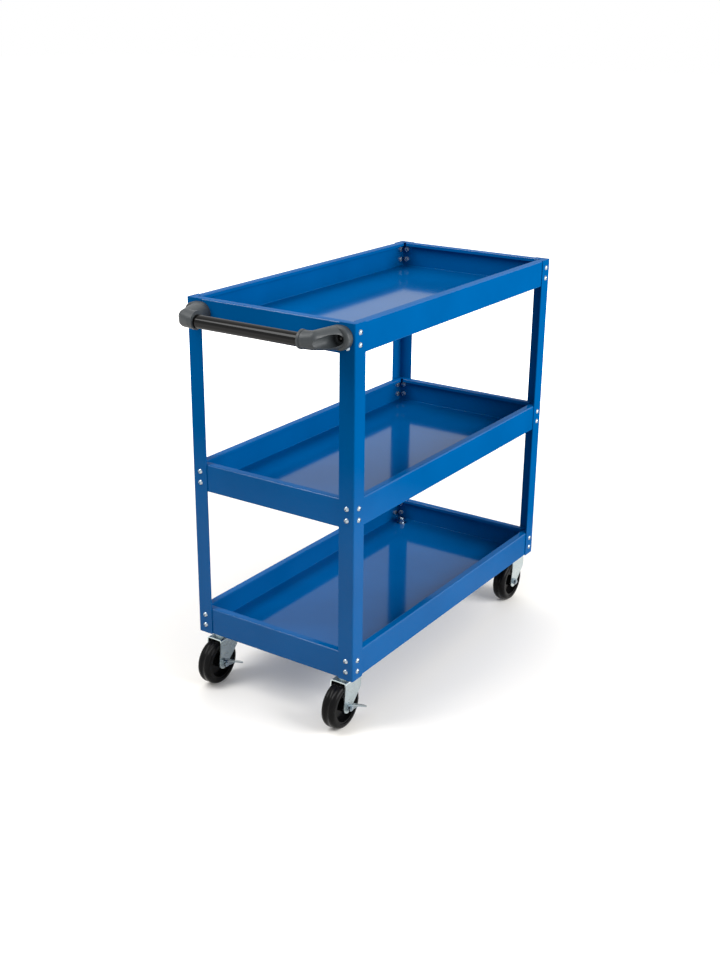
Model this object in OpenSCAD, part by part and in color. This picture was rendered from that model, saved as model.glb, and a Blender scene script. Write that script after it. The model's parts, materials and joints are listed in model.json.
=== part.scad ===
// Workshop trolley with three trays, a push handle and four swivel casters.
// Millimetres. X runs along the trolley with the handle at -X, Y runs across it and Z points up.
// The floor is z = 0, and the origin is below the middle of the whole trolley.

/* [Frame] */
// Length over the outer faces of the posts
frame_length = 800; // [600:10:1000]
// Width over the outer faces of the posts
frame_width = 400; // [340:10:600]
// Length of each corner post
post_length = 733; // [600:1:900]
// Width of each flange of a post
post_flange = 35; // [30:1:45]
// Thickness of the post sheet
post_sheet = 2; // [1.5:0.1:3]
// Outer bend radius of a post
post_bend = 3; // [3:0.1:4]

/* [Trays] */
// Height of the wall of a tray
tray_height = 60; // [55:1:90]
// Thickness of the tray sheet
tray_sheet = 1.2; // [0.8:0.1:2]
// Height of the middle tray above the bottom tray
middle_tray_rise = 328; // [150:1:420]
// Width of the lip that is folded inward along the rim
lip_width = 16; // [13:0.5:20]
// Depth of the edge that is folded down from the lip
lip_return = 8; // [5:0.5:10]
// Outer bend radius between a wall and its lip
lip_bend = 3; // [2.2:0.1:4]
// Outer bend radius between the lip and its folded edge
return_bend = 2.2; // [2.1:0.1:3]
// Outer bend radius between a wall and the floor
floor_bend = 2.8; // [2.2:0.1:4]
// Outer radius of the upright corners of a tray
tray_corner = 5; // [4:0.5:8]
// Radius of the relief notch at each inner corner of the lip
corner_notch = 4; // [2.5:0.5:5]

/* [Tray fasteners] */
// Diameter of the tray bolts
bolt_d = 6; // [5:0.5:6]
// Diameter of the round heads of the tray bolts
bolt_head_d = 11; // [10:0.5:12]
// Height of the round heads of the tray bolts
bolt_head_h = 3.4; // [2.5:0.1:4]
// Width across the flats of the socket in a bolt head
socket_width = 4; // [3:0.5:4]
// Depth of the socket in a bolt head
socket_depth = 2; // [1:0.1:2.2]
// Width across the flats of the tray nuts
nut_width = 10; // [9:0.5:11]
// Height of the tray nuts
nut_height = 5; // [3:0.5:6]
// Depth of the upper row of bolts below the rim
upper_row = 18; // [16:0.5:20]
// Spacing from the upper to the lower row of bolts
row_spacing = 24; // [16:0.5:26]
// The same spacing under the feet of the handle
foot_row_spacing = 29; // [24:0.5:30]
// Distance from the outer corner of a post to its bolts
bolt_inset = 17.5; // [17:0.5:20]

/* [Handle] */
// Outer diameter of the handle tube
tube_d = 27; // [22:0.5:28]
// Wall thickness of the handle tube
tube_wall = 1.5; // [1:0.1:3]
// Distance from the end faces of the posts to the axis of the tube
tube_reach = 60; // [50:1:80]
// Depth of the tube axis below the rim of the top tray
tube_depth = 28; // [26:1:32]
// Diameter of the collar round each end of the tube
collar_d = 35; // [34:0.5:38]
// Height of the middle of the collar over the tube axis
collar_rise = 2; // [0:0.5:2]
// Distance from a post's outer side to the mouth of the collar
collar_inset = 77; // [74:1:90]
// Length of the collar
collar_length = 12; // [8:1:14]
// Length of the lip at the mouth of the collar
collar_lip_length = 5; // [3:0.5:7]
// Height of the lip over the collar
collar_lip = 1; // [0.5:0.1:1.5]
// Distance from a post's outer side to the far end of the handle foot
foot_margin = 4.5; // [3:0.5:8]
// Length of the handle foot across the trolley
foot_length = 54.5; // [50:0.5:60]
// Height of the handle foot
foot_height = 45.6; // [42:0.2:48]
// Thickness of the handle foot
foot_depth = 16; // [14:0.5:20]
// Radius of the rounded edge of the handle foot
foot_round = 4.5; // [2:0.5:6]
// Radius of the knee of the elbow
knee_r = 15; // [14:0.5:16]
// Height of the knee over the tube axis
knee_rise = 6; // [2:0.5:8]
// Distance from a post's outer side to the knee
knee_inset = 50; // [46:1:54]
// Depth of the collar socket behind the knee
socket_margin = 13; // [11:1:15]
// Radius of the recess round the handle bolt
recess_r = 12.5; // [10:0.5:14]
// Radius of the trough that leads into the recess
trough_r = 11; // [8:0.5:12]
// Distance that the trough leans towards the knee
trough_lean = 5; // [2:0.5:8]
// Thickness of the foot under the recess
recess_floor = 9; // [6:0.5:10]
// Distance from a post's outer side to the handle bolt
handle_bolt_inset = 27; // [26:0.5:30]
// Diameter of the head of the handle bolt
handle_head_d = 12; // [10:0.5:13]

/* [Casters] */
// Diameter of the wheels
wheel_d = 100; // [80:1:125]
// Width of the tyres
wheel_width = 32; // [26:1:34]
// Distance from the swivel axis back to the axle
trail = 22; // [16:1:24]
// Distance from the end faces of the posts to the swivel axes
caster_inset_x = 33; // [31:1:60]
// Distance from the side faces of the posts to the swivel axes
caster_inset_y = 37; // [33:1:60]
// Gap between the two legs of a fork
fork_gap = 33.4; // [33:0.1:38]
// Thickness of the fork sheet
fork_sheet = 2.5; // [2:0.1:3]
// Outer bend radius between the crown and the legs of a fork
fork_bend = 5; // [4:0.5:7]
// Radius of the rounded lower end of a fork leg
leg_end_radius = 14; // [12:0.5:16]
// Reach of the crown in front of the axle
crown_front = 48; // [44:1:54]
// Reach of the crown behind the axle
crown_rear = 7; // [5:1:10]
// Radius of the rounded front edge of a fork leg
leg_front_radius = 14; // [10:0.5:16]
// Height of the straight front edge of a fork leg below the crown
leg_front_drop = 22; // [16:1:26]
// Clearance between the crown and the tyre
tyre_clearance = 3.5; // [3:0.5:8]
// Diameter of the swivel head
head_d = 50; // [48:1:56]
// Thickness of the swivel head sheet
head_sheet = 2.5; // [2:0.1:3]
// Diameter of the race balls
ball_d = 6; // [5:0.5:6]
// Number of balls in a race
ball_count = 14; // [8:1:15]
// Radius of the ring of balls
race_radius = 16; // [15:0.5:16.5]
// Diameter of the threaded end of the kingpin
stud_d = 12; // [10:0.5:12]
// Diameter of the shoulder that the fork turns on
shoulder_d = 16; // [14:0.5:17]
// Height of the large nuts on the kingpins
stud_nut_height = 10.5; // [8:0.5:12]
// Width across the flats of the large nuts
stud_nut_width = 18; // [16:0.5:19]
// Diameter of the large washers
washer_d = 24; // [22:0.5:26]
// Thickness of the large washers
washer_sheet = 2.5; // [1.5:0.1:3]
// Diameter of the axle bolts
axle_d = 8; // [6:0.5:10]
// Outer diameter of the axle sleeves
sleeve_d = 12; // [11.5:0.5:14]
// Width across the flats of the axle nuts and bolt heads
axle_nut_width = 13; // [12:0.5:15]
// Thickness of the rubber of a tyre
tyre_depth = 12; // [9:0.5:14]
// Radius of the rounded shoulders of a tyre
tyre_shoulder = 9; // [6:0.5:9]
// Depth of the shallow groove round the middle of a tread
tread_groove = 1.2; // [0.6:0.1:1.5]
// Radius of that groove's section
groove_arc = 12; // [9:1:16]
// Radius of the wheel hub
hub_radius = 13; // [11:0.5:15]
// Thickness of the web of a wheel
web_width = 7; // [5:0.5:10]
// Thickness of the rim of a wheel
rim_depth = 4; // [3:0.5:5]
// Depth of the rim's edges below the sides of the tyre
rim_recess = 1.5; // [1:0.5:3]

/* [Brakes] */
// Length of a brake pedal from the axle to its tip
pedal_length = 51; // [42:1:56]
// Width of a brake pedal
pedal_width = 17; // [13:1:20]
// Thickness of the brake sheet
brake_sheet = 2.5; // [2:0.1:3]
// Slope of a brake pedal below the horizontal
pedal_slope = 24; // [15:1:30]
// Radius of the ear of a brake lever round the axle
ear_radius = 10; // [8:0.5:12]
// Distance from the tip of a pedal back to the end of its ear
ear_setback = 14; // [10:1:18]
// Height of the ear's front end over the axle
ear_front = 5.5; // [4:0.5:7]
// Distance from the axle to the root of a pedal
pedal_root = 11; // [10:1:14]

/* [Clearances] */
// Radial play of a bolt in the sheet metal that it clamps
bolt_play = 0.2; // [0.1:0.05:0.4]
// Radial play of a shaft that turns
running_play = 0.05; // [0.02:0.01:0.1]
// Gap between faces that slide past each other
sliding_gap = 0.3; // [0.2:0.05:0.4]

/* [Hidden] */
$fn = 64;
blend_fn = 32;

// Depth by which a cut passes the faces that it opens, and a hidden joint sinks into its neighbour
overcut = 1;

half_length = frame_length / 2;
half_width = frame_width / 2;

// Stack of a caster, downward from the underside of the bottom tray
race_walls = 2.5;
race_height = ball_d + race_walls;
crown_top = head_sheet + race_height;
crown_under = crown_top + fork_sheet;
axle_drop = crown_under + tyre_clearance + wheel_d / 2;
caster_height = axle_drop + wheel_d / 2;

// Levels above the floor
base_z = caster_height;
rim_z = base_z + post_length;
middle_z = base_z + middle_tray_rise;
top_z = rim_z - tray_height;
tray_levels = [base_z, middle_z, top_z];
handle_z = rim_z - tube_depth;

// The handle reaches further than the bolt heads at the other end, so the frame stands off centre
handle_reach = tube_reach + collar_d / 2 + collar_lip;
frame_shift = (handle_reach - dome_level(bolt_head_d, bolt_head_h, socket_width / 2)) / 2;

// Tray corners sit inside the posts
tray_half_length = half_length - post_sheet;
tray_half_width = half_width - post_sheet;

// Bolts through a post and a tray wall, each with its nut inside the tray
wall_stack = post_sheet + tray_sheet;
bolt_hole_r = bolt_d / 2 + bolt_play;
thread_end = 2;
bolt_tail = nut_height + thread_end;
nut_chamfer = 0.3;

// Handle bracket, with Y measured outward from the middle of the trolley
foot_r = foot_height / 2;
foot_far = half_width - foot_margin;
foot_near = foot_far - foot_length;
foot_arcs = [foot_near + foot_r, foot_far - foot_r];
handle_bolt_y = half_width - handle_bolt_inset;
collar_mouth = half_width - collar_inset;
knee_y = half_width - knee_inset;
socket_end = knee_y - socket_margin;
tube_end = socket_end - sliding_gap;
trough_start = [handle_bolt_y - trough_lean, tube_reach + knee_r];
trough_finish = [handle_bolt_y, foot_depth];
pocket_gap = 0.8;
pocket_play = 1;
pocket_depth = bolt_head_h + pocket_gap;
step_inset = 1;
collar_root = 2;

// Caster parts, measured from the swivel axis and the underside of the bottom tray
ball_drop = head_sheet + race_height / 2;
groove_r = ball_d / 2 + sliding_gap;
race_gap = 1.6;
race_rim = 0.8;
race_out = race_radius + ball_d / 2 + race_rim;
skirt_sheet = 1.5;
skirt_hang = 1;
head_edge = 1;
fork_half = fork_gap / 2 + fork_sheet;
shoulder_r = shoulder_d / 2;
race_width = race_out - shoulder_r - running_play;
stud_end = 3;
stud_chamfer = 1;
stud_top = tray_sheet + washer_sheet + stud_nut_height + stud_end;
stud_hole_r = stud_d / 2 + bolt_play;
rivet_lip = 2.5;
rivet_r = shoulder_r + rivet_lip;
rivet_drop = 3;
rivet_z = -crown_under - sliding_gap - rivet_drop;
crown_edge = 1;
hub_play = 0.2;
hub_width = fork_gap - 2 * sliding_gap - hub_play;
rim_r = wheel_d / 2 - tyre_depth;
axle_hole_r = axle_d / 2 + running_play;
axle_nut_height = 6.5;
axle_head_height = 5.3;
brake_stack = brake_sheet + 2 * sliding_gap;
ear_end = 4;
pedal_heel = 2;
tip_trim = 1;

// Colours as the eye sees them
paint_blue = [0.0, 0.36, 0.65];
zinc = [0.76, 0.79, 0.8];
bracket_grey = [0.36, 0.39, 0.41];
plastic_black = [0.06, 0.06, 0.07];
rubber_black = [0.09, 0.09, 0.1];

// Radius of the sphere that makes a dome of a given diameter and height
function dome_radius(diameter, height) = (diameter * diameter / 4 + height * height) / (2 * height);

// Height of a dome at a distance from its middle
function dome_level(diameter, height, distance) =
    let (radius = dome_radius(diameter, height))
        height - radius + sqrt(radius * radius - distance * distance);

// Places

// Moves the frame so that the whole trolley is centred over the origin
module placed() {
    translate([frame_shift, 0, 0]) children();
}

// Spacing of the bolts on the end flange of a post: wider under the feet of the handle
function end_spacing(end, level) = end < 0 && level == top_z ? foot_row_spacing : row_spacing;

// Puts its children on the four bolts of one post corner of one tray, with +Z pointing outward
module at_corner_bolts(end, side, level) {
    for (drop = [upper_row, upper_row + end_spacing(end, level)])
        translate([end * half_length, side * (half_width - bolt_inset), level + tray_height - drop])
            rotate([0, end * 90, 0]) children();
    for (drop = [upper_row, upper_row + row_spacing])
        translate([end * (half_length - bolt_inset), side * half_width, level + tray_height - drop])
            rotate([-side * 90, 0, 0]) children();
}

// Puts its children on all sixteen bolts of one tray
module at_tray_bolts(level) {
    for (end = [-1, 1])
        for (side = [-1, 1])
            at_corner_bolts(end, side, level) children();
}

// Puts its children on one handle bolt, with +Z pointing outward
module at_handle_bolt(side) {
    translate([-half_length, side * handle_bolt_y, handle_z]) rotate([0, -90, 0]) children();
}

// Puts its children on one swivel axis at the underside of the bottom tray
module at_swivel(end, side) {
    translate([end * (half_length - caster_inset_x), side * (half_width - caster_inset_y), base_z])
        children();
}

// Puts its children on one axle, with +Z still pointing up
module at_axle(end, side) {
    at_swivel(end, side) translate([-trail, 0, -axle_drop]) children();
}

// Turns a shape that was drawn along +Z so that it lies along -Y
module along_axle() {
    rotate([90, 0, 0]) children();
}

// Flat shapes

// A quarter of a bent sheet, with its centre at the origin and its outside at -X and -Y
module bend_section(radius, sheet) {
    intersection() {
        difference() {
            circle(radius);
            circle(radius - sheet);
        }
        translate([-radius - overcut, -radius - overcut]) square(radius + overcut);
    }
}

// The outline of a tray, drawn in by a margin on all sides
module tray_outline(margin) {
    round_rectangle(2 * (tray_half_length - margin), 2 * (tray_half_width - margin), tray_corner - margin);
}

// A rectangle with round corners
module round_rectangle(length, width, radius) {
    square([length - 2 * radius, width], center = true);
    square([length, width - 2 * radius], center = true);
    for (end = [-1, 1])
        for (side = [-1, 1])
            translate([end * (length / 2 - radius), side * (width / 2 - radius)]) circle(radius);
}

// A regular hexagon of a given width across its flats
module hexagon(flats) {
    circle(flats / sqrt(3), $fn = 6);
}

// Trays

// Section of a tray wall with its two bends, with X inward from the outer face and Y up
module wall_section() {
    translate([floor_bend, floor_bend]) bend_section(floor_bend, tray_sheet);
    translate([0, floor_bend]) square([tray_sheet, tray_height - floor_bend - lip_bend]);
    translate([lip_bend, tray_height - lip_bend]) mirror([0, 1]) bend_section(lip_bend, tray_sheet);
}

// Section of the edge that is folded down from the lip
module return_section() {
    translate([lip_width - return_bend, tray_height - return_bend])
        mirror([0, 1]) mirror([1, 0]) bend_section(return_bend, tray_sheet);
    translate([lip_width - tray_sheet, tray_height - lip_return])
        square([tray_sheet, lip_return - return_bend]);
}

// Draws a section along Y, centred on the origin
module run_along_side(length) {
    rotate([90, 0, 0]) linear_extrude(length, center = true) children();
}

// Puts a run on each of the four sides of a tray, shortened by a margin at both ends
module on_four_sides(margin) {
    for (turn = [0, 180]) {
        rotate([0, 0, turn]) translate([-tray_half_length, 0, 0])
            run_along_side(2 * (tray_half_width - margin)) children();
        rotate([0, 0, turn + 90]) translate([-tray_half_width, 0, 0])
            run_along_side(2 * (tray_half_length - margin)) children();
    }
}

// The flat sheet of the lip, with a relief notch at each inner corner
module lip_sheet() {
    inner = lip_width - return_bend;
    difference() {
        tray_outline(lip_bend);
        square([2 * (tray_half_length - inner), 2 * (tray_half_width - inner)], center = true);
        for (end = [-1, 1])
            for (side = [-1, 1])
                translate([end * (tray_half_length - lip_width), side * (tray_half_width - lip_width)])
                    circle(corner_notch);
    }
}

// A folded tray with its underside at z = 0
module tray_shell() {
    linear_extrude(tray_sheet) tray_outline(floor_bend);
    on_four_sides(tray_corner) wall_section();
    for (end = [0, 1])
        for (side = [0, 1])
            mirror([end, 0, 0]) mirror([0, side, 0])
                translate([tray_half_length - tray_corner, tray_half_width - tray_corner, 0])
                    rotate_extrude(angle = 90) translate([tray_corner, 0]) mirror([1, 0]) wall_section();
    translate([0, 0, tray_height - tray_sheet]) linear_extrude(tray_sheet) lip_sheet();
    on_four_sides(lip_width + corner_notch) return_section();
}

// The hole of a bolt through post and tray, cut downward from z = 0
module bolt_hole() {
    translate([0, 0, -wall_stack - overcut]) cylinder(wall_stack + 2 * overcut, r = bolt_hole_r);
}

// The hole of a kingpin through a sheet that lies on z = 0
module stud_hole(sheet) {
    translate([0, 0, -overcut]) cylinder(sheet + 2 * overcut, r = stud_hole_r);
}

// A tray with its bolt holes
module tray(level) {
    color(paint_blue) placed() difference() {
        translate([0, 0, level]) tray_shell();
        at_tray_bolts(level) bolt_hole();
    }
}

// The top tray also takes the two handle bolts
module tray_top() {
    difference() {
        tray(top_z);
        placed() handle_bolt_holes();
    }
}

// The bottom tray also takes the four kingpins
module tray_bottom() {
    difference() {
        tray(base_z);
        placed()
            for (end = [-1, 1])
                for (side = [-1, 1])
                    at_swivel(end, side) stud_hole(tray_sheet);
    }
}

// Holes for the two handle bolts through the posts and the wall of the top tray
module handle_bolt_holes() {
    for (side = [-1, 1])
        at_handle_bolt(side) bolt_hole();
}

// Posts

// Section of a post with its outer corner at the origin
module post_section() {
    translate([post_bend, post_bend]) bend_section(post_bend, post_sheet);
    translate([post_bend, 0]) square([post_flange - post_bend, post_sheet]);
    translate([0, post_bend]) square([post_sheet, post_flange - post_bend]);
}

// A corner post with the holes for its tray bolts
module post(end, side) {
    color(paint_blue) placed() difference() {
        translate([end * half_length, side * half_width, base_z])
            mirror([end > 0 ? 1 : 0, 0, 0]) mirror([0, side > 0 ? 1 : 0, 0])
                linear_extrude(post_length) post_section();
        for (level = tray_levels)
            at_corner_bolts(end, side, level) bolt_hole();
        if (end < 0)
            handle_bolt_holes();
    }
}

// Tray fasteners

// A round bolt head with a hexagon socket, standing on z = 0
module round_head(diameter, height) {
    dome_r = dome_radius(diameter, height);
    difference() {
        intersection() {
            cylinder(height, d = diameter);
            translate([0, 0, height - dome_r]) sphere(dome_r);
        }
        translate([0, 0, height - socket_depth])
            linear_extrude(socket_depth + overcut) hexagon(socket_width);
    }
}

// A bolt whose head sits on z = 0 and whose shank points down
module bolt(head, height, shank) {
    round_head(head, height);
    translate([0, 0, -shank]) cylinder(shank, d = bolt_d);
}

// A nut with its top face on z = 0
module nut(width, height, bore) {
    translate([0, 0, -height]) difference() {
        intersection() {
            linear_extrude(height) hexagon(width);
            cylinder(height, d1 = width * 2 / sqrt(3), d2 = width + 2 * nut_chamfer, $fn = 64);
        }
        translate([0, 0, -overcut]) cylinder(height + 2 * overcut, r = bore);
    }
}

// A nut against the inside of a tray wall, with z = 0 on the post's outer face
module wall_nut() {
    translate([0, 0, -wall_stack]) nut(nut_width, nut_height, bolt_d / 2 + running_play);
}

// The sixteen bolts of one tray
module tray_bolts(level) {
    color(zinc) placed()
        at_tray_bolts(level) bolt(bolt_head_d, bolt_head_h, wall_stack + bolt_tail);
}

// The sixteen nuts of one tray
module tray_nuts(level) {
    color(zinc) placed()
        at_tray_bolts(level) wall_nut();
}

// Handle

// The straight tube that the hands push on
module handle_tube() {
    color(plastic_black) placed() translate([-half_length - tube_reach, 0, handle_z]) rotate([90, 0, 0])
        difference() {
            cylinder(2 * tube_end, d = tube_d, center = true);
            cylinder(2 * (tube_end + overcut), d = tube_d - 2 * tube_wall, center = true);
        }
}

// A thick disc with a rounded outer edge, standing on z = 0
module foot_disc() {
    rotate_extrude($fn = blend_fn) {
        square([foot_r - foot_round, foot_depth]);
        square([foot_r, foot_depth - foot_round]);
        translate([foot_r - foot_round, foot_depth - foot_round]) circle(foot_round);
    }
}

// The knee, a little taller than wide
module knee() {
    for (rise = [0, knee_rise])
        translate([rise, knee_y, tube_reach]) sphere(knee_r, $fn = blend_fn);
}

// The foot, with z = 0 on the post face
module foot() {
    hull() {
        for (arc = foot_arcs)
            translate([0, arc, 0]) foot_disc();
    }
}

// The arm from the knee down to the near half of the foot
module elbow_arm() {
    hull() {
        knee();
        translate([0, foot_arcs[0], 0]) foot_disc();
    }
}

// The step under the foot that reaches the tray wall beside the edge of the post
module foot_step() {
    step_edge = half_width - post_flange - sliding_gap;
    intersection() {
        translate([0, foot_arcs[0], -post_sheet]) cylinder(post_sheet + overcut, r = foot_r - step_inset);
        translate([-foot_r, 0, -post_sheet]) cube([foot_height, step_edge, post_sheet + overcut]);
    }
}

// The solid elbow before it is hollowed
module elbow_body() {
    foot();
    foot_step();
    elbow_arm();
    hull() {
        knee();
        translate([collar_rise, collar_mouth + collar_length - collar_root, tube_reach])
            rotate([-90, 0, 0]) cylinder(collar_root, d = collar_d, $fn = blend_fn);
    }
    translate([collar_rise, collar_mouth, tube_reach]) rotate([-90, 0, 0]) {
        cylinder(collar_length, d = collar_d);
        cylinder(collar_lip_length, d = collar_d + 2 * collar_lip);
    }
}

// The round recess that sinks the head of the handle bolt
module bolt_recess() {
    translate([0, handle_bolt_y, recess_floor]) cylinder(2 * tube_reach, r = recess_r);
}

// The trough that runs from the knee down into the recess
module trough() {
    slope = trough_start - trough_finish;
    translate([0, trough_finish[0], trough_finish[1]]) rotate([-atan2(slope[0], slope[1]), 0, 0]) {
        cylinder(2 * norm(slope), r = trough_r);
        sphere(trough_r);
    }
}

// A moulded elbow bracket: a collar for the tube, a knee and a foot against the end wall
module handle_bracket(side) {
    color(bracket_grey) placed() mirror([0, side > 0 ? 0 : 1, 0])
        translate([-half_length, 0, handle_z]) rotate([0, -90, 0]) difference() {
            elbow_body();
            bolt_recess();
            trough();
            translate([0, collar_mouth - overcut, tube_reach]) rotate([-90, 0, 0])
                cylinder(socket_end - collar_mouth + overcut, d = tube_d + 2 * running_play);
            translate([0, handle_bolt_y, -post_sheet - overcut])
                cylinder(recess_floor + post_sheet + 2 * overcut, r = bolt_hole_r);
            for (drop = [upper_row, upper_row + foot_row_spacing])
                translate([tube_depth - drop, half_width - bolt_inset, -overcut])
                    cylinder(pocket_depth + overcut, d = bolt_head_d + 2 * pocket_play);
        }
}

// The two bolts that hold the brackets
module handle_bolts() {
    color(plastic_black) placed()
        for (side = [-1, 1])
            at_handle_bolt(side) translate([0, 0, recess_floor])
                bolt(handle_head_d, bolt_head_h, recess_floor + wall_stack + bolt_tail);
}

// Their nuts inside the top tray
module handle_nuts() {
    color(zinc) placed()
        for (side = [-1, 1])
            at_handle_bolt(side) wall_nut();
}

// Swivel bearing

// The pressed head under the tray, with the upper race and a dust skirt
module swivel_head(end, side) {
    color(zinc) placed() at_swivel(end, side) rotate_extrude() difference() {
        union() {
            translate([stud_hole_r, -head_sheet])
                square([head_d / 2 - stud_hole_r - head_edge, head_sheet]);
            translate([head_d / 2 - head_edge, -head_sheet + head_edge]) circle(head_edge);
            translate([head_d / 2 - head_edge, -head_sheet + head_edge])
                square([head_edge, head_sheet - head_edge]);
            translate([shoulder_r + running_play, -ball_drop + race_gap / 2])
                square([race_width, (race_height - race_gap) / 2]);
            translate([race_out, -ball_drop - skirt_hang])
                square([skirt_sheet, race_height / 2 + skirt_hang]);
        }
        translate([race_radius, -ball_drop]) circle(ball_d / 2 + running_play);
    }
}

// The kingpin: a threaded stud, the shoulder that the fork turns on and a riveted head
module kingpin(end, side) {
    dome_r = dome_radius(2 * rivet_r, rivet_drop);
    color(zinc) placed() at_swivel(end, side) {
        translate([0, 0, -head_sheet]) cylinder(head_sheet + stud_top - stud_chamfer, d = stud_d);
        translate([0, 0, stud_top - stud_chamfer])
            cylinder(stud_chamfer, d1 = stud_d, d2 = stud_d - 2 * stud_chamfer);
        translate([0, 0, -crown_under - sliding_gap])
            cylinder(crown_under + sliding_gap - head_sheet, r = shoulder_r);
        intersection() {
            translate([0, 0, rivet_z]) cylinder(rivet_drop, r = rivet_r);
            translate([0, 0, rivet_z + dome_r]) sphere(dome_r);
        }
    }
}

// The ring of balls between the two races
module race_balls(end, side) {
    color(zinc) placed() at_swivel(end, side)
        for (ball = [0 : ball_count - 1])
            rotate([0, 0, ball * 360 / ball_count])
                translate([race_radius, 0, -ball_drop]) sphere(d = ball_d);
}

// The large nuts that hold the kingpins inside the bottom tray
module kingpin_nuts() {
    color(zinc) placed()
        for (end = [-1, 1])
            for (side = [-1, 1])
                at_swivel(end, side) translate([0, 0, tray_sheet + washer_sheet]) mirror([0, 0, 1])
                    nut(stud_nut_width, stud_nut_height, stud_d / 2 + running_play);
}

// Their washers
module kingpin_washers() {
    color(zinc) placed()
        for (end = [-1, 1])
            for (side = [-1, 1])
                at_swivel(end, side) translate([0, 0, tray_sheet]) difference() {
                    cylinder(washer_sheet, d = washer_d);
                    stud_hole(washer_sheet);
                }
}

// Forks

// Side outline of a fork leg, with the axle at the origin and the crown at the top
module leg_outline() {
    crown_z = axle_drop - crown_top;
    hull() {
        circle(leg_end_radius);
        translate([crown_front - leg_front_radius, crown_z - leg_front_drop]) circle(leg_front_radius);
        translate([-crown_rear, crown_z - crown_edge]) square([crown_rear + crown_front, crown_edge]);
    }
}

// Cross section of a fork: a crown with a leg folded down on each side
module fork_section() {
    crown_z = axle_drop - crown_top;
    reach = crown_z - fork_bend + leg_end_radius + overcut;
    translate([-fork_half + fork_bend, crown_z - fork_sheet])
        square([2 * (fork_half - fork_bend), fork_sheet]);
    for (flip = [0, 1])
        mirror([flip, 0]) {
            translate([-fork_half + fork_bend, crown_z - fork_bend])
                mirror([0, 1]) bend_section(fork_bend, fork_sheet);
            translate([-fork_half, crown_z - fork_bend - reach]) square([fork_sheet, reach]);
        }
}

// A pressed fork with the lower race on its crown
module fork(end, side) {
    color(zinc) placed() difference() {
        union() {
            at_axle(end, side) intersection() {
                along_axle() linear_extrude(2 * (fork_half + overcut), center = true) leg_outline();
                translate([-leg_end_radius - overcut, 0, 0]) rotate([90, 0, 90])
                    linear_extrude(crown_front + leg_end_radius + 2 * overcut) fork_section();
            }
            at_swivel(end, side) rotate_extrude() difference() {
                translate([shoulder_r + running_play, -crown_top])
                    square([race_width - sliding_gap, (race_height - race_gap) / 2]);
                translate([race_radius, -ball_drop]) circle(groove_r);
            }
        }
        at_swivel(end, side) translate([0, 0, -crown_under - overcut])
            cylinder(race_height + fork_sheet + 2 * overcut, r = shoulder_r + running_play);
        at_axle(end, side) along_axle()
            cylinder(2 * (fork_half + overcut), r = axle_hole_r, center = true);
    }
}

// Axles

// The bolt through the fork and the wheel; a brake lever under the nut makes it longer
module axle_bolt(end, side) {
    stack = end < 0 ? brake_stack : 0;
    tail = fork_half + stack + axle_nut_height + thread_end;
    color(zinc) placed() at_axle(end, side) along_axle() {
        translate([0, 0, -fork_half]) cylinder(fork_half + tail, d = axle_d);
        translate([0, 0, -fork_half - axle_head_height])
            linear_extrude(axle_head_height) hexagon(axle_nut_width);
    }
}

// The nut at the other end of the axle
module axle_nut(end, side) {
    stack = end < 0 ? brake_stack : 0;
    color(zinc) placed() at_axle(end, side) along_axle()
        translate([0, 0, fork_half + stack]) mirror([0, 0, 1])
            nut(axle_nut_width, axle_nut_height, axle_hole_r);
}

// The steel sleeve that the wheel runs on
module axle_sleeve(end, side) {
    color(zinc) placed() at_axle(end, side) along_axle() difference() {
        cylinder(fork_gap, d = sleeve_d, center = true);
        cylinder(fork_gap + 2 * overcut, r = axle_hole_r, center = true);
    }
}

// Wheels

// Half section of the wheel centre, with X outward from the axle and Y across the wheel
module wheel_section() {
    rim_width = wheel_width - 2 * rim_recess;
    translate([sleeve_d / 2 + running_play, -hub_width / 2])
        square([hub_radius - sleeve_d / 2 - running_play, hub_width]);
    translate([hub_radius - overcut, -web_width / 2]) square([rim_r - hub_radius, web_width]);
    translate([rim_r - rim_depth, -rim_width / 2]) square([rim_depth, rim_width]);
}

// The wheel centre: hub, web and rim
module wheel(end, side) {
    color(plastic_black) placed() at_axle(end, side) along_axle() rotate_extrude() wheel_section();
}

// Half section of a tyre with rounded shoulders and a shallow groove round the tread
module tyre_section() {
    outer = wheel_d / 2;
    difference() {
        union() {
            translate([rim_r, -wheel_width / 2]) square([tyre_depth - tyre_shoulder, wheel_width]);
            translate([rim_r, -wheel_width / 2 + tyre_shoulder])
                square([tyre_depth, wheel_width - 2 * tyre_shoulder]);
            for (flank = [-1, 1])
                translate([outer - tyre_shoulder, flank * (wheel_width / 2 - tyre_shoulder)])
                    circle(tyre_shoulder);
        }
        translate([outer + groove_arc - tread_groove, 0]) circle(groove_arc);
        translate([rim_r - wheel_width, -wheel_width]) square([wheel_width, 2 * wheel_width]);
    }
}

// The tyre round the rim
module tyre(end, side) {
    color(rubber_black) placed() at_axle(end, side) along_axle() rotate_extrude() tyre_section();
}

// Brakes

// Outline of the ear of a brake lever, which lies flat against the fork leg
module ear_outline() {
    hull() {
        circle(ear_radius);
        translate([pedal_length - ear_setback - ear_end, 0]) square([ear_end, ear_front]);
    }
}

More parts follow.
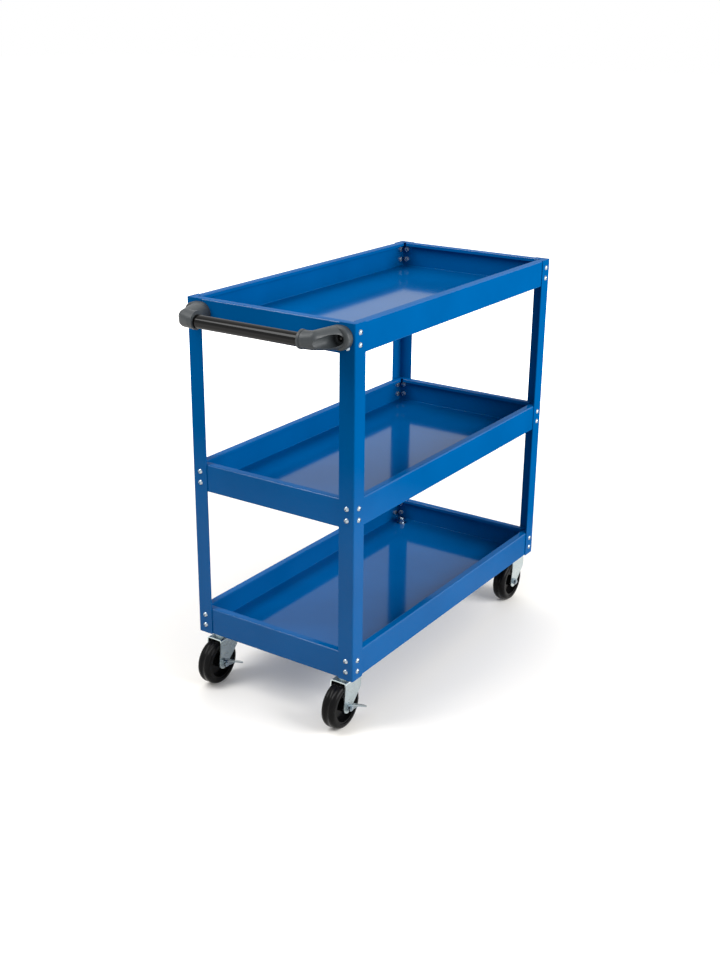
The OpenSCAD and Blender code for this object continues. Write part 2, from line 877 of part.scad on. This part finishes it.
// A pressed brake lever: an ear on the axle and a pedal folded outward
module brake_lever(end, side) {
    tip_r = pedal_width / 2 - tip_trim;
    color(zinc) placed() at_axle(end, side)
        translate([0, -fork_half - sliding_gap, 0]) rotate([0, pedal_slope, 0]) difference() {
            union() {
                along_axle() linear_extrude(brake_sheet) ear_outline();
                translate([0, -brake_sheet, ear_front - brake_sheet]) linear_extrude(brake_sheet) hull() {
                    translate([pedal_root, 0]) square([pedal_length - ear_setback - pedal_root, brake_sheet]);
                    translate([pedal_root, -pedal_heel]) square(pedal_heel);
                    translate([pedal_length - tip_r, -pedal_width + brake_sheet + tip_r]) circle(tip_r);
                }
            }
            along_axle() translate([0, 0, -overcut]) cylinder(brake_sheet + 2 * overcut, r = axle_hole_r);
        }
}

tray_top();
tray(middle_z);  // tray_middle
tray_bottom();
post(-1, 1);  // post_rear_left
post(-1, -1);  // post_rear_right
post(1, 1);  // post_front_left
post(1, -1);  // post_front_right
tray_bolts(top_z);  // tray_bolts_top
tray_bolts(middle_z);  // tray_bolts_middle
tray_bolts(base_z);  // tray_bolts_bottom
tray_nuts(top_z);  // tray_nuts_top
tray_nuts(middle_z);  // tray_nuts_middle
tray_nuts(base_z);  // tray_nuts_bottom
handle_tube();
handle_bracket(1);  // handle_bracket_left
handle_bracket(-1);  // handle_bracket_right
handle_bolts();
handle_nuts();
kingpin_nuts();
kingpin_washers();
swivel_head(-1, 1);  // swivel_head_rear_left
swivel_head(-1, -1);  // swivel_head_rear_right
swivel_head(1, 1);  // swivel_head_front_left
swivel_head(1, -1);  // swivel_head_front_right
kingpin(-1, 1);  // kingpin_rear_left
kingpin(-1, -1);  // kingpin_rear_right
kingpin(1, 1);  // kingpin_front_left
kingpin(1, -1);  // kingpin_front_right
race_balls(-1, 1);  // race_balls_rear_left
race_balls(-1, -1);  // race_balls_rear_right
race_balls(1, 1);  // race_balls_front_left
race_balls(1, -1);  // race_balls_front_right
fork(-1, 1);  // fork_rear_left
fork(-1, -1);  // fork_rear_right
fork(1, 1);  // fork_front_left
fork(1, -1);  // fork_front_right
axle_bolt(-1, 1);  // axle_bolt_rear_left
axle_bolt(-1, -1);  // axle_bolt_rear_right
axle_bolt(1, 1);  // axle_bolt_front_left
axle_bolt(1, -1);  // axle_bolt_front_right
axle_nut(-1, 1);  // axle_nut_rear_left
axle_nut(-1, -1);  // axle_nut_rear_right
axle_nut(1, 1);  // axle_nut_front_left
axle_nut(1, -1);  // axle_nut_front_right
axle_sleeve(-1, 1);  // axle_sleeve_rear_left
axle_sleeve(-1, -1);  // axle_sleeve_rear_right
axle_sleeve(1, 1);  // axle_sleeve_front_left
axle_sleeve(1, -1);  // axle_sleeve_front_right
wheel(-1, 1);  // wheel_rear_left
wheel(-1, -1);  // wheel_rear_right
wheel(1, 1);  // wheel_front_left
wheel(1, -1);  // wheel_front_right
tyre(-1, 1);  // tyre_rear_left
tyre(-1, -1);  // tyre_rear_right
tyre(1, 1);  // tyre_front_left
tyre(1, -1);  // tyre_front_right
brake_lever(-1, 1);  // brake_lever_rear_left
brake_lever(-1, -1);  // brake_lever_rear_right
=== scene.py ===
"""Workshop trolley: finishes, floor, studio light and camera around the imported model."""

import json
import math

import bpy
from mathutils import Matrix, Vector


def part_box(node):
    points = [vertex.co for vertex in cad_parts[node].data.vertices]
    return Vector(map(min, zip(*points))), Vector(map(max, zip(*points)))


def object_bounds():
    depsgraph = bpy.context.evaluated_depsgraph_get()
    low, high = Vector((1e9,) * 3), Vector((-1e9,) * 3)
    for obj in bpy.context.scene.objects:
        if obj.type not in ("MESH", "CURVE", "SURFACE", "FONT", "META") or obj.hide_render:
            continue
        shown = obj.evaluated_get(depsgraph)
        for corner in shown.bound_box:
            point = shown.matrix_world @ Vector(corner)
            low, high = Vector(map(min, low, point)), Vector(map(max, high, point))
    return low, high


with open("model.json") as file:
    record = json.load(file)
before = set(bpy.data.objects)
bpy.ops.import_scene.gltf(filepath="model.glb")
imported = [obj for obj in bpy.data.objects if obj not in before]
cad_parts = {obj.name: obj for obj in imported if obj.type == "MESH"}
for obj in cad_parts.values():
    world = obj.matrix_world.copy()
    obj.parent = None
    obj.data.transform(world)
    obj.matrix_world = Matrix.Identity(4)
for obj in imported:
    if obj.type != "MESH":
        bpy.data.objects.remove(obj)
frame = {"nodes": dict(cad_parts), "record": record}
cad_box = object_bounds()


# Shader nodes

# Where the values of a noise mostly lie
NOISE_LOW, NOISE_HIGH = 0.3, 0.7
CLOUD_DETAIL, GRAIN_DETAIL = 3.0, 2.0
# The sockets for colours of a Mix node
MIX_FACTOR, MIX_FIRST, MIX_SECOND, MIX_RESULT = 0, 6, 7, 2


def add(tree, kind, **settings):
    """A new node of a kind, with its properties set."""
    node = tree.nodes.new(kind)
    for key, value in settings.items():
        setattr(node, key, value)
    return node


def set_inputs(node, values):
    """Sets sockets of a node by name."""
    for socket, value in values.items():
        node.inputs[socket].default_value = value


def calculated(tree, operation, *values):
    """The result of a sum on sockets and plain numbers."""
    node = add(tree, "ShaderNodeMath", operation=operation)
    for socket, value in zip(node.inputs, values):
        if isinstance(value, (int, float)):
            socket.default_value = value
        else:
            tree.links.new(value, socket)
    return node.outputs["Value"]


def rising(tree, source, start, end, low, high, curve="LINEAR"):
    """A value that goes from low to high while the source goes from start to end."""
    node = add(tree, "ShaderNodeMapRange", interpolation_type=curve)
    set_inputs(node, {"From Min": start, "From Max": end, "To Min": low, "To Max": high})
    tree.links.new(source, node.inputs["Value"])
    return node.outputs["Result"]


def place_of(tree):
    """The object's own coordinates, in metres."""
    return add(tree, "ShaderNodeTexCoord").outputs["Object"]


def parts_of(tree, source):
    """The X, Y and Z of a vector."""
    parts = add(tree, "ShaderNodeSeparateXYZ")
    tree.links.new(source, parts.inputs["Vector"])
    return parts.outputs


def noise(tree, place, waves, detail):
    """Noise of a number of waves per metre."""
    node = add(tree, "ShaderNodeTexNoise")
    set_inputs(node, {"Scale": waves, "Detail": detail})
    tree.links.new(place, node.inputs["Vector"])
    return node.outputs["Fac"]


def drifting(tree, place, waves, low, high):
    """A value that drifts between low and high across the surface."""
    return rising(tree, noise(tree, place, waves, CLOUD_DETAIL), NOISE_LOW, NOISE_HIGH, low, high)


def blend_colours(tree, factor, first, second):
    """Two colours mixed by a factor."""
    node = add(tree, "ShaderNodeMix", data_type="RGBA")
    node.inputs[MIX_FIRST].default_value = (*first, 1)
    node.inputs[MIX_SECOND].default_value = (*second, 1)
    tree.links.new(factor, node.inputs[MIX_FACTOR])
    return node.outputs[MIX_RESULT]


def blend_shaders(tree, factor, first, second):
    """Two shaders mixed by a factor."""
    node = add(tree, "ShaderNodeMixShader")
    for source, socket in zip((factor, first, second), node.inputs):
        tree.links.new(source, socket)
    return node.outputs["Shader"]


def bump(tree, height, depth):
    """A bump of a depth in metres."""
    node = add(tree, "ShaderNodeBump")
    node.inputs["Distance"].default_value = depth
    tree.links.new(height, node.inputs["Height"])
    return node.outputs["Normal"]


def background_rays(tree):
    """1 for rays that see the background directly, in a reflection or through glass, else 0."""
    path = add(tree, "ShaderNodeLightPath").outputs
    seen = calculated(tree, "MAXIMUM", path["Is Camera Ray"], path["Is Glossy Ray"])
    return calculated(tree, "MAXIMUM", seen, path["Is Transmission Ray"])


# Finishes: the material slots of the record, and two more tones of zinc: a lighter one on the nuts that
# paints in the light they catch, and a darker one on the brake levers

# How much finer the drift of the roughness is than that of the colour
ROUGHNESS_WAVES = 2.7


def finish_of(name, colours, cloud, roughness, grain, depth, metallic=0.0, specular=0.5):
    """A material whose colour and roughness drift between two limits, and which has a fine grain.

    cloud and grain are waves per metre, and depth is the height of the grain in metres.
    """
    material = bpy.data.materials.new(name)
    material.use_nodes = True
    tree = material.node_tree
    shader = tree.nodes["Principled BSDF"]
    place = place_of(tree)
    colour = blend_colours(tree, drifting(tree, place, cloud, 0, 1), *colours)
    tree.links.new(colour, shader.inputs["Base Color"])
    gloss = drifting(tree, place, cloud * ROUGHNESS_WAVES, *roughness)
    tree.links.new(gloss, shader.inputs["Roughness"])
    surface = bump(tree, noise(tree, place, grain, GRAIN_DETAIL), depth)
    tree.links.new(surface, shader.inputs["Normal"])
    set_inputs(shader, {"Metallic": metallic, "Specular IOR Level": specular})
    return material


LOOKS = {
    "blue_powder_coat": dict(
        colours=[(0.0, 0.088, 0.285), (0.0, 0.102, 0.325)], cloud=6, roughness=(0.13, 0.18),
        grain=700, depth=0.00003, specular=0.0),
    "zinc": dict(
        colours=[(0.30, 0.36, 0.41), (0.40, 0.46, 0.51)], cloud=60, roughness=(0.16, 0.26),
        grain=1500, depth=0.00002, metallic=1.0),
    "fork_zinc": dict(
        colours=[(0.47, 0.55, 0.56), (0.56, 0.63, 0.64)], cloud=45, roughness=(0.24, 0.36),
        grain=900, depth=0.00001, metallic=1.0),
    # Painted light: the nuts inside the trays get a lighter, less metallic copy of the zinc, so that they
    # look lit as if they caught the lamps
    "nut_zinc_painted_light": dict(
        colours=[(0.56, 0.60, 0.63), (0.68, 0.72, 0.74)], cloud=60, roughness=(0.36, 0.48),
        grain=1500, depth=0.00002, metallic=0.8),
    "lever_zinc": dict(
        colours=[(0.28, 0.33, 0.35), (0.37, 0.42, 0.44)], cloud=45, roughness=(0.22, 0.34),
        grain=900, depth=0.00001, metallic=1.0),
    "ball_steel": dict(
        colours=[(0.62, 0.62, 0.64), (0.68, 0.68, 0.70)], cloud=90, roughness=(0.08, 0.14),
        grain=1500, depth=0.00001, metallic=1.0),
    "tube_black": dict(
        colours=[(0.0025, 0.0023, 0.0023), (0.0035, 0.0033, 0.0033)], cloud=30, roughness=(0.05, 0.08),
        grain=900, depth=0.00001, specular=0.18),
    "bracket_plastic": dict(
        colours=[(0.037, 0.043, 0.047), (0.047, 0.053, 0.057)], cloud=50, roughness=(0.36, 0.46),
        grain=1600, depth=0.00006, specular=0.35),
    "black_steel": dict(
        colours=[(0.006, 0.006, 0.006), (0.010, 0.010, 0.010)], cloud=120, roughness=(0.24, 0.34),
        grain=1500, depth=0.00003, specular=0.3),
    "wheel_plastic": dict(
        colours=[(0.003, 0.003, 0.0033), (0.005, 0.005, 0.0055)], cloud=60, roughness=(0.16, 0.24),
        grain=1100, depth=0.00003, specular=0.10),
    "tyre_rubber": dict(
        colours=[(0.003, 0.003, 0.0033), (0.006, 0.006, 0.0065)], cloud=40, roughness=(0.18, 0.26),
        grain=1000, depth=0.00004, specular=0.09),
}
# Nodes whose finish isn't the one of their slot, by the start of their name
# The nuts take the lighter zinc, which carries painted light
OTHER_FINISHES = {"tray_nuts_": "nut_zinc_painted_light", "brake_lever_": "lever_zinc"}


def finish_name(part):
    """The name of the finish of a node in the record."""
    for start, finish in OTHER_FINISHES.items():
        if part["node"].startswith(start):
            return finish
    return part["material_slot"]


# The powder coat has a clear skin. It shows most on the flat floors, and less on the lowest of them. On the
# walls it fades with height and away from the handle end. On the lips of the trays the flat parts show less
# of it, and the folds beside them more. Heights and distances are in metres.
SKIN_ROUGHNESS = 0.09
FLOOR_SKIN, WALL_SKIN, FOLD_SKIN = 0.62, 0.27, 0.5
# How much of a surface's normal points up where it begins to count as flat, and where it fully does
FLAT_START, FLAT_END = 0.6, 0.95
LOW_FLOOR_SHARE = 0.78
LOW_FLOOR_END, HIGH_FLOOR_START = 0.15, 0.40
FADE_LOW, FADE_HIGH = 0.40, 0.62
FADE_LEAN = 0.45
LIP_FLAT_SHARE, LIP_FOLD_SHARE = 0.35, 7.0
LIP_NEAR, LIP_FAR = 0.002, 0.005


def skin_on_floors(tree, upward, height):
    """The skin of flat surfaces."""
    flat = rising(tree, upward, FLAT_START, FLAT_END, 0.0, FLOOR_SKIN)
    lifted = rising(tree, height, LOW_FLOOR_END, HIGH_FLOOR_START, LOW_FLOOR_SHARE, 1.0)
    return calculated(tree, "MULTIPLY", flat, lifted)


def skin_on_walls(tree, along, height):
    """The skin of walls and posts."""
    handle_end = cad_box[0][0]
    from_handle = calculated(tree, "MULTIPLY_ADD", along, FADE_LEAN, -handle_end * FADE_LEAN)
    away = calculated(tree, "ADD", height, from_handle)
    return rising(tree, away, FADE_LOW, FADE_HIGH, WALL_SKIN, 0.0)


def skin_on_folds(tree, upward):
    """The skin of bends, which face neither up nor sideways."""
    slope = calculated(tree, "ABSOLUTE", upward)
    bend = calculated(tree, "SUBTRACT", slope, calculated(tree, "POWER", slope, 2.0))
    return calculated(tree, "MULTIPLY", bend, FOLD_SKIN)


def give_skin(material):
    """Puts the clear skin on the powder coat."""
    tree = material.node_tree
    shader = tree.nodes["Principled BSDF"]
    upward = parts_of(tree, add(tree, "ShaderNodeNewGeometry").outputs["True Normal"])["Z"]
    place = parts_of(tree, place_of(tree))
    height = place["Z"]
    on_floors = skin_on_floors(tree, upward, height)
    on_walls = skin_on_walls(tree, place["X"], height)
    on_folds = skin_on_folds(tree, upward)
    for tray in ("tray_top", "tray_middle", "tray_bottom"):
        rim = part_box(tray)[1][2]
        off_lip = calculated(tree, "ABSOLUTE", calculated(tree, "SUBTRACT", height, rim))
        on_floors = calculated(
            tree, "MULTIPLY", on_floors, rising(tree, off_lip, LIP_NEAR, LIP_FAR, LIP_FLAT_SHARE, 1.0))
        on_folds = calculated(
            tree, "MULTIPLY", on_folds, rising(tree, off_lip, LIP_NEAR, LIP_FAR, LIP_FOLD_SHARE, 1.0))
    flat_or_wall = calculated(tree, "MAXIMUM", on_floors, on_walls)
    skin = calculated(tree, "MAXIMUM", flat_or_wall, on_folds)
    tree.links.new(skin, shader.inputs["Coat Weight"])
    shader.inputs["Coat Roughness"].default_value = SKIN_ROUGHNESS


def paint_nodes():
    """Gives every CAD node its finish."""
    finishes = {name: finish_of(name, **look) for name, look in LOOKS.items()}
    give_skin(finishes["blue_powder_coat"])
    for part in frame["record"]["subparts"]:
        for slot in frame["nodes"][part["node"]].material_slots:
            slot.material = finishes[finish_name(part)]


# Floor and world

WHITE = (1, 1, 1, 1)
FLOOR_HALF = 30.0
# The floor's colour as it is seen, and as it lights the object
FLOOR_COLOUR = (0.97, 0.945, 0.905)
FLOOR_BOUNCE = (0.50, 0.50, 0.50)
# How brightly the floor glows near the object, and between which distances that rises to white
FLOOR_GLOW = 0.02
WHITE_START, WHITE_END = 1.0, 3.2
WORLD_LIGHT = 0.5


def white_floor():
    """A pale floor that keeps the shadow, turns to white further out and is clear from below."""
    bpy.ops.mesh.primitive_plane_add(size=2 * FLOOR_HALF, location=(0, 0, 0))
    floor = bpy.context.object
    floor.name = "floor"
    material = bpy.data.materials.new("floor")
    material.use_nodes = True
    tree = material.node_tree
    tree.nodes.clear()
    seen = background_rays(tree)
    diffuse = add(tree, "ShaderNodeBsdfDiffuse")
    tree.links.new(blend_colours(tree, seen, FLOOR_BOUNCE, FLOOR_COLOUR), diffuse.inputs["Color"])
    distance = add(tree, "ShaderNodeVectorMath", operation="LENGTH")
    tree.links.new(place_of(tree), distance.inputs[0])
    whiteness = rising(
        tree, distance.outputs["Value"], WHITE_START, WHITE_END, FLOOR_GLOW, 1.0, curve="SMOOTHSTEP")
    glow = add(tree, "ShaderNodeEmission")
    tree.links.new(calculated(tree, "MULTIPLY", seen, whiteness), glow.inputs["Strength"])
    lit = add(tree, "ShaderNodeAddShader")
    tree.links.new(diffuse.outputs["BSDF"], lit.inputs[0])
    tree.links.new(glow.outputs["Emission"], lit.inputs[1])
    from_below = add(tree, "ShaderNodeNewGeometry").outputs["Backfacing"]
    clear = add(tree, "ShaderNodeBsdfTransparent").outputs["BSDF"]
    one_sided = blend_shaders(tree, from_below, lit.outputs["Shader"], clear)
    tree.links.new(one_sided, add(tree, "ShaderNodeOutputMaterial").inputs["Surface"])
    floor.data.materials.append(material)


def white_light(tree, strength):
    """White light of a strength, from all around."""
    node = add(tree, "ShaderNodeBackground")
    set_inputs(node, {"Color": WHITE, "Strength": strength})
    return node.outputs["Background"]


def pale_world():
    """A world that is white to look at and lights the scene more softly."""
    world = bpy.data.worlds.new("studio")
    bpy.context.scene.world = world
    world.use_nodes = True
    tree = world.node_tree
    tree.nodes.clear()
    both = blend_shaders(tree, background_rays(tree), white_light(tree, WORLD_LIGHT), white_light(tree, 1.0))
    tree.links.new(both, add(tree, "ShaderNodeOutputWorld").inputs["Surface"])


# Light

def softbox(name, place, target, width, height, power, mirrored=True):
    """A rectangular lamp of some watts that points at a target, and that shows in mirrors or doesn't."""
    data = bpy.data.lights.new(name, "AREA")
    data.shape = "RECTANGLE"
    data.size, data.size_y = width, height
    data.energy = power
    lamp = bpy.data.objects.new(name, data)
    lamp.visible_glossy = mirrored
    lamp.location = place
    lamp.rotation_euler = (Vector(target) - Vector(place)).to_track_quat("-Z", "Y").to_euler()
    bpy.context.collection.objects.link(lamp)


def studio_lamps():
    """One lamp over the handle end, one behind the trolley and one beside it."""
    softbox("key", place=(-1.5, 1.1, 3.0), target=(-0.1, 0, 0.5), width=1.1, height=2.6, power=64)
    softbox("back", place=(2.4, 1.8, 1.7), target=(0, 0, 0.4), width=3.6, height=2.4, power=52,
            mirrored=False)
    softbox("side", place=(0.4, -2.9, 1.7), target=(0, 0, 0.5), width=2.6, height=1.6, power=106)


# Camera, solved from the photograph's edges

CAMERA_PLACE = (-2.1900, -1.4272, 1.3746)
LOOK_AROUND, LOOK_DOWN, ROLL = (math.radians(angle) for angle in (33.59, 20.51, 0.59))
LENS = 46.80
SENSOR = 36.0


def photo_camera():
    """The camera where the photographer stood."""
    flat = math.cos(LOOK_DOWN)
    look = Vector((math.cos(LOOK_AROUND) * flat, math.sin(LOOK_AROUND) * flat, -math.sin(LOOK_DOWN)))
    level = Vector((math.sin(LOOK_AROUND), -math.cos(LOOK_AROUND), 0))
    upright = level.cross(look)
    right = level * math.cos(ROLL) + upright * math.sin(ROLL)
    up = upright * math.cos(ROLL) - level * math.sin(ROLL)
    turn = Matrix((right, up, -look)).transposed().to_4x4()
    data = bpy.data.cameras.new("camera")
    data.lens = LENS
    data.sensor_width = SENSOR
    camera = bpy.data.objects.new("camera", data)
    camera.matrix_world = Matrix.Translation(CAMERA_PLACE) @ turn
    bpy.context.collection.objects.link(camera)
    bpy.context.scene.camera = camera


paint_nodes()
white_floor()
pale_world()
studio_lamps()
photo_camera()
bpy.context.scene.view_settings.view_transform = "Standard"
